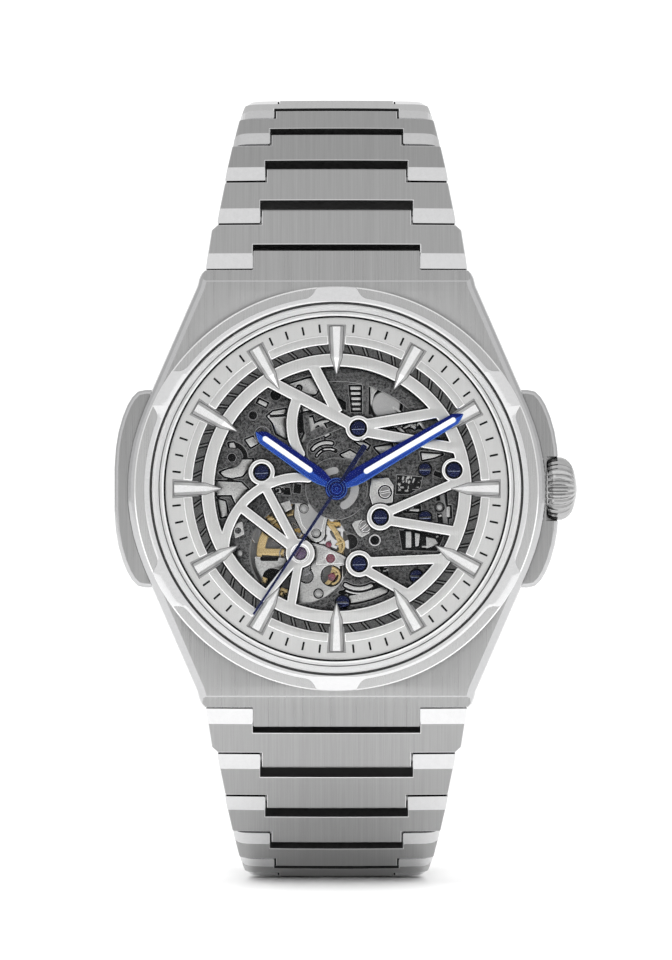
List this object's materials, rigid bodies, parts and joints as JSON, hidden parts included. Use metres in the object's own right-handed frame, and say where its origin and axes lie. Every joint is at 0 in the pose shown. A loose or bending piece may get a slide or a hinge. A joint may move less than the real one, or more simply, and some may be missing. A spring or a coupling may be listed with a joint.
{
  "type": "skeleton wristwatch",
  "caption": "Round skeleton-dial automatic wristwatch on an integrated tapering link bracelet, closed as worn, with working hands, train, crown, links and folding clasp.",
  "frame": {"origin": "centre of the flat outer face of the display back, the face that rests on the wrist", "axes": "dial faces -Y, +Y points out of the back towards the wrist, +Z towards 12 o'clock, +X towards 3 o'clock and the crown"},
  "size_m": [0.0438, 0.0466, 0.0754],
  "materials": {
    "brushed_case": "vertically brushed steel with polished bevels",
    "polished_steel": "polished steel",
    "bracelet_steel": "lengthwise brushed with polished facets at each link's head",
    "sapphire": "clear sapphire crystal",
    "gasket_rubber": "black rubber",
    "dial_silver": "circular brushed silver with bright bevels",
    "plate_grey": "dark grained plate",
    "bridge_grey": "grey rhodium bridge",
    "gilt_brass": "gilt brass",
    "blued_steel": "blued steel",
    "hairspring_alloy": "blued spring alloy"
  },
  "bodies": {
    "case": {"case_middle": "brushed_case", "bezel": "brushed_case", "crystal": "sapphire", "crystal_gasket": "gasket_rubber", "inner_flange": "polished_steel", "case_back": "polished_steel", "display_crystal": "sapphire", "case_back_gasket": "gasket_rubber", "dial": "dial_silver", "movement_holder": "bridge_grey", "main_plate": "plate_grey", "train_bridge": "bridge_grey", "balance_cock": "bridge_grey", "crown_tube": "polished_steel"},
    "fourth_wheel": {"fourth_wheel": "gilt_brass", "seconds_hand": "blued_steel"},
    "third_wheel": {"third_wheel": "gilt_brass"},
    "center_wheel": {"center_wheel": "gilt_brass", "minute_hand": "blued_steel"},
    "hour_wheel": {"hour_wheel": "polished_steel", "hour_hand": "blued_steel"},
    "minute_wheel": {"minute_wheel": "gilt_brass"},
    "barrel": {"barrel": "gilt_brass"},
    "escape_wheel": {"escape_wheel": "polished_steel"},
    "pallet_fork": {"pallet_fork": "polished_steel"},
    "balance": {"balance_wheel": "gilt_brass", "hairspring": "hairspring_alloy"},
    "rotor": {"rotor": "bridge_grey"},
    "winding_stem": {"winding_stem": "polished_steel"},
    "crown": {"crown": "polished_steel"},
    "link_12_01": {"link_12_01": "bracelet_steel"},
    "link_12_02": {"link_12_02": "bracelet_steel"},
    "link_12_03": {"link_12_03": "bracelet_steel"},
    "link_12_04": {"link_12_04": "bracelet_steel"},
    "link_12_05": {"link_12_05": "bracelet_steel"},
    "link_12_06": {"link_12_06": "bracelet_steel"},
    "link_12_07": {"link_12_07": "bracelet_steel"},
    "link_12_08": {"link_12_08": "bracelet_steel"},
    "link_12_09": {"link_12_09": "bracelet_steel"},
    "link_12_10": {"link_12_10": "bracelet_steel"},
    "link_12_11": {"link_12_11": "bracelet_steel"},
    "link_12_12": {"link_12_12": "bracelet_steel"},
    "link_6_01": {"link_6_01": "bracelet_steel"},
    "link_6_02": {"link_6_02": "bracelet_steel"},
    "link_6_03": {"link_6_03": "bracelet_steel"},
    "link_6_04": {"link_6_04": "bracelet_steel"},
    "link_6_05": {"link_6_05": "bracelet_steel"},
    "link_6_06": {"link_6_06": "bracelet_steel"},
    "link_6_07": {"link_6_07": "bracelet_steel"},
    "link_6_08": {"link_6_08": "bracelet_steel"},
    "link_6_09": {"link_6_09": "bracelet_steel"},
    "link_6_10": {"link_6_10": "bracelet_steel"},
    "link_6_11": {"link_6_11": "bracelet_steel"},
    "link_6_12": {"link_6_12": "bracelet_steel", "clasp_spring_bar": "polished_steel"},
    "clasp_cover": {"clasp_cover": "bracelet_steel"},
    "clasp_outer_blade": {"clasp_outer_blade": "polished_steel"},
    "clasp_inner_blade": {"clasp_inner_blade": "polished_steel"},
    "clasp_button_right": {"clasp_button_right": "polished_steel"},
    "clasp_button_left": {"clasp_button_left": "polished_steel"}
  },
  "joints": [
    {"name": "fourth_wheel_spin", "type": "hinge", "parent": "case", "child": "fourth_wheel", "pos_m": [0, -0.004, 0], "axis": [0, 1, 0], "continuous": true},
    {"name": "third_wheel_spin", "type": "hinge", "parent": "case", "child": "third_wheel", "pos_m": [-0.0039, -0.0045, -0.00069], "axis": [0, 1, 0], "continuous": true},
    {"name": "center_wheel_spin", "type": "hinge", "parent": "case", "child": "center_wheel", "pos_m": [0, -0.0053, 0], "axis": [0, 1, 0], "continuous": true},
    {"name": "hour_wheel_spin", "type": "hinge", "parent": "case", "child": "hour_wheel", "pos_m": [0, -0.0071, 0], "axis": [0, 1, 0], "continuous": true},
    {"name": "minute_wheel_spin", "type": "hinge", "parent": "case", "child": "minute_wheel", "pos_m": [0.00249, -0.0068, -0.00144], "axis": [0, 1, 0], "continuous": true},
    {"name": "barrel_spin", "type": "hinge", "parent": "case", "child": "barrel", "pos_m": [0.00352, -0.0046, 0.00522], "axis": [0, 1, 0], "continuous": true},
    {"name": "escape_wheel_spin", "type": "hinge", "parent": "case", "child": "escape_wheel", "pos_m": [0.0005, -0.0042, -0.00387], "axis": [0, 1, 0], "continuous": true},
    {"name": "pallet_fork_rock", "type": "hinge", "parent": "case", "child": "pallet_fork", "pos_m": [-0.00145, -0.0047, -0.00498], "axis": [0, 1, 0], "range_deg": [-5, 5]},
    {"name": "balance_swing", "type": "hinge", "parent": "case", "child": "balance", "pos_m": [-0.00343, -0.005, -0.0061], "axis": [0, 1, 0], "range_deg": [-270, 270]},
    {"name": "rotor_spin", "type": "hinge", "parent": "case", "child": "rotor", "pos_m": [0, -0.0024, 0], "axis": [0, 1, 0], "continuous": true},
    {"name": "stem_pull", "type": "slide", "parent": "case", "child": "winding_stem", "axis": [1, 0, 0], "range_m": [0, 0.0012]},
    {"name": "crown_turn", "type": "hinge", "parent": "winding_stem", "child": "crown", "pos_m": [0.021, -0.00455, 0], "axis": [1, 0, 0], "continuous": true},
    {"name": "link_12_01_hinge", "type": "hinge", "parent": "case", "child": "link_12_01", "pos_m": [0, -0.0049, 0.0214], "axis": [1, 0, 0], "range_deg": [0, 22]},
    {"name": "link_12_02_hinge", "type": "hinge", "parent": "link_12_01", "child": "link_12_02", "pos_m": [0, -0.00314, 0.02554], "axis": [1, 0, 0], "range_deg": [0, 8.61]},
    {"name": "link_12_03_hinge", "type": "hinge", "parent": "link_12_02", "child": "link_12_03", "pos_m": [0, -0.00076, 0.02936], "axis": [1, 0, 0], "range_deg": [0, 11.48]},
    {"name": "link_12_04_hinge", "type": "hinge", "parent": "link_12_03", "child": "link_12_04", "pos_m": [0, 0.00237, 0.0326], "axis": [1, 0, 0], "range_deg": [0, 14.35]},
    {"name": "link_12_05_hinge", "type": "hinge", "parent": "link_12_04", "child": "link_12_05", "pos_m": [0, 0.00623, 0.03491], "axis": [1, 0, 0], "range_deg": [0, 15.3]},
    {"name": "link_12_06_hinge", "type": "hinge", "parent": "link_12_05", "child": "link_12_06", "pos_m": [0, 0.01057, 0.03608], "axis": [1, 0, 0], "range_deg": [0, 13.39]},
    {"name": "link_12_07_hinge", "type": "hinge", "parent": "link_12_06", "child": "link_12_07", "pos_m": [0, 0.01507, 0.03616], "axis": [1, 0, 0], "range_deg": [0, 12.43]},
    {"name": "link_12_08_hinge", "type": "hinge", "parent": "link_12_07", "child": "link_12_08", "pos_m": [0, 0.01947, 0.03522], "axis": [1, 0, 0], "range_deg": [0, 12.43]},
    {"name": "link_12_09_hinge", "type": "hinge", "parent": "link_12_08", "child": "link_12_09", "pos_m": [0, 0.02355, 0.03332], "axis": [1, 0, 0], "range_deg": [0, 12.43]},
    {"name": "link_12_10_hinge", "type": "hinge", "parent": "link_12_09", "child": "link_12_10", "pos_m": [0, 0.0271, 0.03055], "axis": [1, 0, 0], "range_deg": [0, 12.43]},
    {"name": "link_12_11_hinge", "type": "hinge", "parent": "link_12_10", "child": "link_12_11", "pos_m": [0, 0.02993, 0.02705], "axis": [1, 0, 0], "range_deg": [0, 11.48]},
    {"name": "link_12_12_hinge", "type": "hinge", "parent": "link_12_11", "child": "link_12_12", "pos_m": [0, 0.03197, 0.02304], "axis": [1, 0, 0], "range_deg": [0, 11.48]},
    {"name": "clasp_cover_hinge", "type": "hinge", "parent": "link_12_12", "child": "clasp_cover", "pos_m": [0, 0.03314, 0.0187], "axis": [1, 0, 0], "range_deg": [0, 14.35]},
    {"name": "link_6_01_hinge", "type": "hinge", "parent": "case", "child": "link_6_01", "pos_m": [0, -0.0049, -0.0214], "axis": [-1, 0, 0], "range_deg": [0, 22]},
    {"name": "link_6_02_hinge", "type": "hinge", "parent": "link_6_01", "child": "link_6_02", "pos_m": [0, -0.00314, -0.02554], "axis": [-1, 0, 0], "range_deg": [0, 8.61]},
    {"name": "link_6_03_hinge", "type": "hinge", "parent": "link_6_02", "child": "link_6_03", "pos_m": [0, -0.00076, -0.02936], "axis": [-1, 0, 0], "range_deg": [0, 11.48]},
    {"name": "link_6_04_hinge", "type": "hinge", "parent": "link_6_03", "child": "link_6_04", "pos_m": [0, 0.00237, -0.0326], "axis": [-1, 0, 0], "range_deg": [0, 14.35]},
    {"name": "link_6_05_hinge", "type": "hinge", "parent": "link_6_04", "child": "link_6_05", "pos_m": [0, 0.00623, -0.03491], "axis": [-1, 0, 0], "range_deg": [0, 15.3]},
    {"name": "link_6_06_hinge", "type": "hinge", "parent": "link_6_05", "child": "link_6_06", "pos_m": [0, 0.01057, -0.03608], "axis": [-1, 0, 0], "range_deg": [0, 13.39]},
    {"name": "link_6_07_hinge", "type": "hinge", "parent": "link_6_06", "child": "link_6_07", "pos_m": [0, 0.01507, -0.03616], "axis": [-1, 0, 0], "range_deg": [0, 12.43]},
    {"name": "link_6_08_hinge", "type": "hinge", "parent": "link_6_07", "child": "link_6_08", "pos_m": [0, 0.01947, -0.03522], "axis": [-1, 0, 0], "range_deg": [0, 12.43]},
    {"name": "link_6_09_hinge", "type": "hinge", "parent": "link_6_08", "child": "link_6_09", "pos_m": [0, 0.02355, -0.03332], "axis": [-1, 0, 0], "range_deg": [0, 12.43]},
    {"name": "link_6_10_hinge", "type": "hinge", "parent": "link_6_09", "child": "link_6_10", "pos_m": [0, 0.0271, -0.03055], "axis": [-1, 0, 0], "range_deg": [0, 12.43]},
    {"name": "link_6_11_hinge", "type": "hinge", "parent": "link_6_10", "child": "link_6_11", "pos_m": [0, 0.02993, -0.02705], "axis": [-1, 0, 0], "range_deg": [0, 11.48]},
    {"name": "link_6_12_hinge", "type": "hinge", "parent": "link_6_11", "child": "link_6_12", "pos_m": [0, 0.03197, -0.02304], "axis": [-1, 0, 0], "range_deg": [0, 11.48]},
    {"name": "clasp_outer_blade_hinge", "type": "hinge", "parent": "clasp_cover", "child": "clasp_outer_blade", "pos_m": [0, 0.03314, -0.0125], "axis": [1, 0, 0], "range_deg": [0, 20]},
    {"name": "clasp_inner_blade_hinge", "type": "hinge", "parent": "clasp_outer_blade", "child": "clasp_inner_blade", "pos_m": [0, 0.03264, 0.0135], "axis": [-1, 0, 0], "range_deg": [0, 50]},
    {"name": "clasp_button_right_press", "type": "slide", "parent": "clasp_cover", "child": "clasp_button_right", "axis": [-1, 0, 0], "range_m": [0, 0.0005], "stiffness_N_per_m": 300},
    {"name": "clasp_button_left_press", "type": "slide", "parent": "clasp_cover", "child": "clasp_button_left", "axis": [1, 0, 0], "range_m": [0, 0.0005], "stiffness_N_per_m": 300}
  ],
  "couplings": [
    {"joint": "third_wheel_spin", "follows": "fourth_wheel_spin", "ratio": -0.13333},
    {"joint": "center_wheel_spin", "follows": "fourth_wheel_spin", "ratio": 0.016667},
    {"joint": "hour_wheel_spin", "follows": "fourth_wheel_spin", "ratio": 0.0013889},
    {"joint": "minute_wheel_spin", "follows": "fourth_wheel_spin", "ratio": -0.0055556},
    {"joint": "barrel_spin", "follows": "fourth_wheel_spin", "ratio": -0.0027778},
    {"joint": "escape_wheel_spin", "follows": "fourth_wheel_spin", "ratio": -12}
  ]
}
